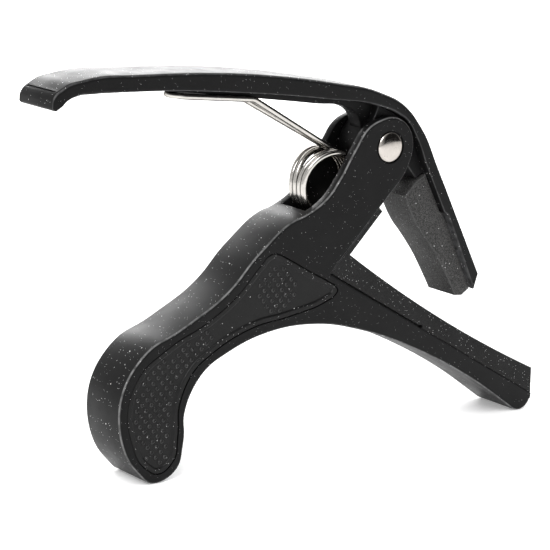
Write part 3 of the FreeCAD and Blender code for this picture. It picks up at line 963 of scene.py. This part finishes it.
def make_lever():
    """Bent plate with its rib and boss; the edge radius changes gradually along it."""
    outline = cleaned(lever_outline())
    raw = [lever_radius(p) for p in outline]
    count = len(outline)
    radii = {
        p: sum(raw[(i + k) % count] for k in range(-3, 4)) / 7 for i, p in enumerate(outline)
    }
    plate = temp_object(rounded_prism(outline, BODY_HALF, radii.get, 5), "plate")
    web = temp_object(rounded_prism(web_outline(), WEB_HALF, 0.15, 2, 0.08), "web")
    boss = temp_object(rounded_prism(boss_outline(), LUG_HALF, 0.25, 3, 0.1), "boss")
    whole = boolean(plate, [web, boss], "UNION")
    crease = plain_prism(CREASE, -CREASE_HALF, CREASE_HALF)
    bore = plain_prism(arc_about(PIVOT, BORE_RADIUS, 0, 360), -BODY_HALF, BODY_HALF)
    whole = boolean(whole, [temp_object(crease), temp_object(bore)], "DIFFERENCE")
    lever = mesh_object("lever_moulding", taken(whole))
    return place(lever, lever_black, "lever", ["lever"], "lever")


# ---- rivet ---------------------------------------------------------------------------------
def make_rivet():
    """Domed head, straight shank and a hollow clenched tail."""
    base = BODY_HALF - SEAT_DEPTH
    brim, dome = 0.12, 0.83
    head = [(0, -(base + brim + dome))]
    for k in range(1, 15):
        angle = math.pi / 2 * k / 14
        height = brim + dome * math.cos(angle) ** 0.9
        head.append((HEAD_RADIUS * math.sin(angle), -(base + height)))
    head += [
        (HEAD_RADIUS, -(base + 0.02)), (HEAD_RADIUS - 0.05, -base), (SHANK_RADIUS, -base),
        (SHANK_RADIUS, base),
    ]
    tail = [
        (SHANK_RADIUS, 0.4), (2.4, 0.42), (2.4, 0.5), (2.28, 0.66), (2.0, 0.82), (1.6, 0.93),
        (1.2, 0.95), (1.0, 0.9), (0.88, 0.7), (0.8, -0.6), (0, -0.9),
    ]
    bm = lathe(head + [(radius, base + height) for radius, height in tail])
    return place(mesh_object("rivet_turned", bm, 32), nickel, "frame", ["pivot_rivet"], "rivet")


def make_washer():
    base = BODY_HALF - SEAT_DEPTH
    profile = [
        (1.62, 0.02), (1.62, 0.36), (1.68, 0.4), (2.93, 0.4), (3.03, 0.34), (3.05, 0.26),
        (3.05, 0.02), (1.62, 0.02),
    ]
    bm = lathe([(radius, base + height) for radius, height in profile])
    washer = mesh_object("washer_pressed", bm, 32)
    return place(washer, washer_nickel, "frame", ["rivet_washer"], "washer")


# ---- spring ----------------------------------------------------------------------------------
def turn_point(angle, y):
    return vector(polar(COIL, COIL_RADIUS, angle), y)


def coil_points(side):
    """One coil: outer tail, turns that step inward over two ramps, up to the leg."""
    start = polar(COIL, COIL_RADIUS, TAIL_ANGLE)
    away = math.radians(TAIL_ANGLE - 90)
    points = []
    for i in range(10):
        reach = TAIL_LENGTH * (1 - i / 10)
        tail = (start[0] + reach * math.cos(away), start[1] + reach * math.sin(away))
        points.append(vector(tail, side * OUTER_TURN_Y))

    def flat(first, last, level):
        count = int((last - first) / 4)
        for i in range(count):
            points.append(turn_point(first + (last - first) * i / count, side * level))

    def ramp_down(level):
        for i in range(26):
            share = i / 26
            eased = share * share * (3 - 2 * share)
            angle = RAMP_START + (RAMP_END - RAMP_START) * share
            points.append(turn_point(angle, side * (level - TURN_PITCH * eased)))

    flat(TAIL_ANGLE, RAMP_START, OUTER_TURN_Y)
    ramp_down(OUTER_TURN_Y)
    flat(RAMP_END, RAMP_START + 360, OUTER_TURN_Y - TURN_PITCH)
    ramp_down(OUTER_TURN_Y - TURN_PITCH)
    flat(RAMP_END, LEG_ANGLE + 360, INNER_TURN_Y)
    points.append(turn_point(LEG_ANGLE, side * INNER_TURN_Y))
    return points


def loop_points():
    """The closed loop and its spreading legs, with a hidden stretch along each inner turn."""
    heading = math.radians(LEG_ANGLE + 90)
    root = polar(COIL, COIL_RADIUS, LEG_ANGLE)
    spread = (root[0] + LEG_ROOT * math.cos(heading), root[1] + LEG_ROOT * math.sin(heading))
    out = unit(ARM_END[0] - ARM_BEND[0], ARM_END[1] - ARM_BEND[1])
    loop_start = (ARM_END[0] - LOOP_Y * out[0], ARM_END[1] - LOOP_Y * out[1])
    start = vector(spread, -INNER_TURN_Y)
    corner = vector(ARM_BEND, -LOOP_Y)
    end = vector(loop_start, -LOOP_Y)
    reach = 0.5 * MM
    bend_start = corner + (start - corner).normalized() * reach
    bend_end = corner + (end - corner).normalized() * reach
    hidden = 24
    near = [turn_point(LEG_ANGLE - 46 + 46 * i / hidden, -INNER_TURN_Y) for i in range(hidden)]
    base = vector(root, -INNER_TURN_Y)
    near += [base.lerp(start, i / 6) for i in range(6)]
    near += [start.lerp(bend_start, i / 24) for i in range(24)]
    for i in range(9):
        share = i / 8
        near.append(bend_start.lerp(corner, share).lerp(corner.lerp(bend_end, share), share))
    near += [bend_end.lerp(end, i / 20) for i in range(1, 20)]
    far = [Vector((p.x, -p.y, p.z)) for p in near[::-1]]
    round_end = []
    for i in range(25):
        angle = math.pi * i / 24
        reach = LOOP_Y * math.sin(angle)
        p = (loop_start[0] + reach * out[0], loop_start[1] + reach * out[1])
        round_end.append(vector(p, -LOOP_Y * math.cos(angle)))
    return near + round_end + far, hidden


def make_spring():
    """Both coils as one piece on the body, and the loop as one piece that turns."""
    bm = bmesh.new()
    for side in (-1, 1):
        part = tube(coil_points(side), lambda i: WIRE_RADIUS * MM)
        scratch = bpy.data.meshes.new("scratch")
        part.to_mesh(scratch)
        part.free()
        bm.from_mesh(scratch)
        bpy.data.meshes.remove(scratch)
    coils = mesh_object("spring_turns", bm, 60)
    place(coils, wire_nickel, "frame", ["spring_coil_front", "spring_coil_back"], "spring")
    points, hidden = loop_points()
    last = len(points) - 1

    def radius(i):
        thinned = 0.02 if min(i, last - i) < hidden - 1 else 0.0
        return (WIRE_RADIUS - thinned) * MM

    loop = mesh_object("spring_loop", tube(points, radius), 60)
    place(loop, wire_nickel, "spring_arm", ["spring_arm"], "spring")


make_body()
make_inlay("inlay_front", -1, "grip_panel_front")
make_inlay("inlay_back", 1, "grip_panel_back")
make_string_pad()
make_lever()
make_neck_pad()
make_rivet()
make_washer()
make_spring()


# ---- floor, light and camera -------------------------------------------------------------
VIEW_AZIMUTH = -36.03
VIEW_ELEVATION = 13.96
VIEW_ROLL = 1.271852575088443
VIEW_LENS = 155.4
VIEW_AIM = (-8.393, -5.6, 34.939)   # model millimetres
VIEW_DISTANCE = 0.4316              # metres


def make_floor():
    mesh = bpy.data.meshes.new("floor")
    reach = 6.0
    corners = [(-reach, -reach, 0), (reach, -reach, 0), (reach, reach, 0), (-reach, reach, 0)]
    mesh.from_pydata(corners, [], [(0, 1, 2, 3)])
    floor = linked("floor", mesh)
    material, _, shader = tree_of("pale_floor")
    shader.inputs["Base Color"].default_value = (0.95, 0.95, 0.95, 1)
    shader.inputs["Emission Color"].default_value = (1, 1, 1, 1)
    shader.inputs["Emission Strength"].default_value = 0.25
    shader.inputs["Roughness"].default_value = 0.9
    shader.inputs["Specular IOR Level"].default_value = 0.1
    mesh.materials.append(material)


def area_light(name, where, target, size, watts):
    data = bpy.data.lights.new(name, "AREA")
    data.shape = "RECTANGLE"
    data.size, data.size_y = size
    data.energy = watts
    light = linked(name, data)
    light.location = where
    light.rotation_euler = (Vector(target) - Vector(where)).to_track_quat("-Z", "Y").to_euler()


def make_world():
    """Bright surround with one dim side, so that metal has something dark to mirror."""
    world = bpy.data.worlds.new("studio")
    bpy.context.scene.world = world
    world.use_nodes = True
    tree = world.node_tree
    where = add(tree, "ShaderNodeTexCoord").outputs["Generated"]
    dim_side = tuple(Vector((0.62, -0.70, 0.36)).normalized())
    toward = add(
        tree, "ShaderNodeVectorMath", {0: where, 1: dim_side}, operation="DOT_PRODUCT"
    ).outputs["Value"]
    tone = ramp(tree, toward, [(0.45, grey(1)), (0.74, grey(0.4)), (0.88, grey(0.02))])
    background = tree.nodes["Background"]
    tree.links.new(tone, background.inputs["Color"])
    background.inputs["Strength"].default_value = 0.8


def make_camera():
    """Long lens, 36 degrees to the left of square on and 14 degrees above."""
    turn = math.radians(VIEW_ROLL)
    a, e = math.radians(VIEW_AZIMUTH), math.radians(VIEW_ELEVATION)
    back = Vector((math.sin(a) * math.cos(e), -math.cos(a) * math.cos(e), math.sin(e)))
    right = Vector((math.cos(a), math.sin(a), 0))
    up = back.cross(right)

    def settled(v):
        """Direction after the roll that stands the capo level on the floor."""
        cosine, sine = math.cos(turn), math.sin(turn)
        return Vector((cosine * v.x - sine * v.z, v.y, sine * v.x + cosine * v.z))

    back, right, up = settled(back), settled(right), settled(up)
    data = bpy.data.cameras.new("camera")
    data.sensor_width = 36
    data.lens = VIEW_LENS
    data.clip_start = 0.01
    data.clip_end = 50
    camera = linked("camera", data)
    target = (Vector(VIEW_AIM) - 0.18 * right + 0.26 * up) * MM
    rotation = [[right[i], up[i], back[i]] for i in range(3)]
    place_at = target + back * VIEW_DISTANCE
    camera.matrix_world = Matrix.Translation(place_at) @ Matrix(rotation).to_4x4()
    bpy.context.scene.camera = camera


make_floor()
make_world()
area_light("key", (-0.5, -0.35, 0.75), (0, 0, 0.03), (0.5, 0.5), 7)
area_light("back", (0.46, 0.63, 0.34), (0, 0, 0.05), (1.0, 0.4), 9)
make_camera()
bpy.context.scene.view_settings.view_transform = "Standard"
